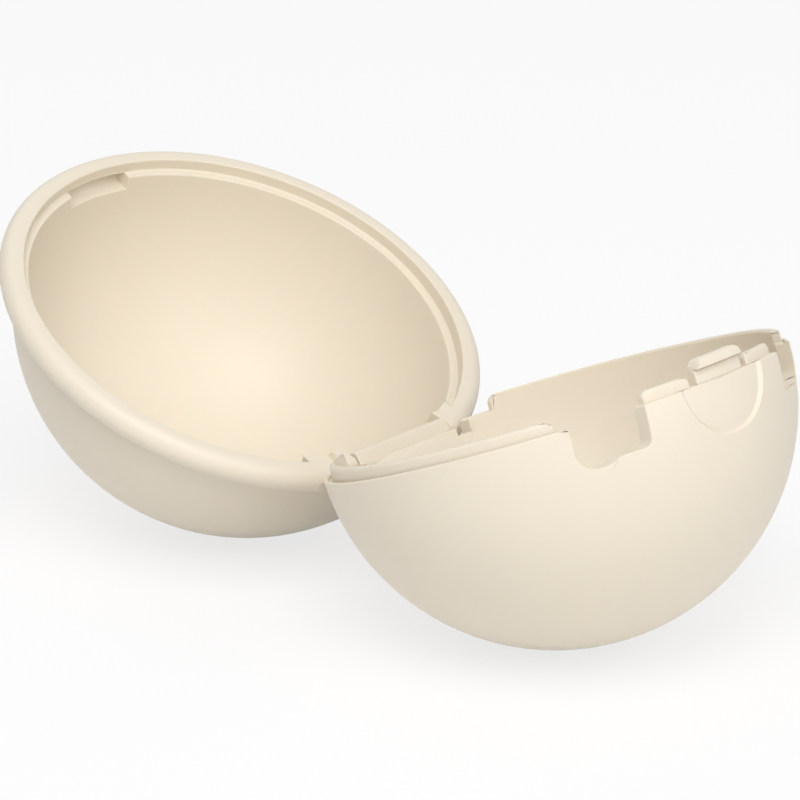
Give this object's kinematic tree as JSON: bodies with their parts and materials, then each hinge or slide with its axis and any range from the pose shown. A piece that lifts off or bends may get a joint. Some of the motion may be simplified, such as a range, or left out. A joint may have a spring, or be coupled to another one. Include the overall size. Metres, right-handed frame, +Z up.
{
  "type": "pacifier case",
  "caption": "Ball-shaped pacifier case of matte cream plastic: half-ball base and lid on a hinge, with a hooked latch tongue, thumb recess and strap notches.",
  "frame": {"origin": "middle of the open case's outline, on the surface that both half balls stand on", "axes": "+X from the lid to the base, across the hinge; +Y along the hinge; +Z up"},
  "size_m": [0.1704, 0.0964, 0.0663],
  "materials": {
    "cream_plastic": "satin moulded",
    "pin_steel": "drawn"
  },
  "bodies": {
    "base": {"base_shell": "cream_plastic", "hinge_pin": "pin_steel"},
    "lid": {"lid_shell": "cream_plastic"},
    "latch": {"latch_tongue": "cream_plastic"}
  },
  "joints": [
    {"name": "lid_hinge", "type": "hinge", "parent": "base", "child": "lid", "pos_m": [0.0003, 0, 0.02642], "axis": [0, 1, 0], "range_deg": [0, 132]},
    {"name": "latch_flex", "type": "hinge", "parent": "base", "child": "latch", "pos_m": [0.07863, 0, 0.0612], "axis": [0, -1, 0], "range_deg": [0, 20], "stiffness_Nm_per_rad": 0.05}
  ]
}
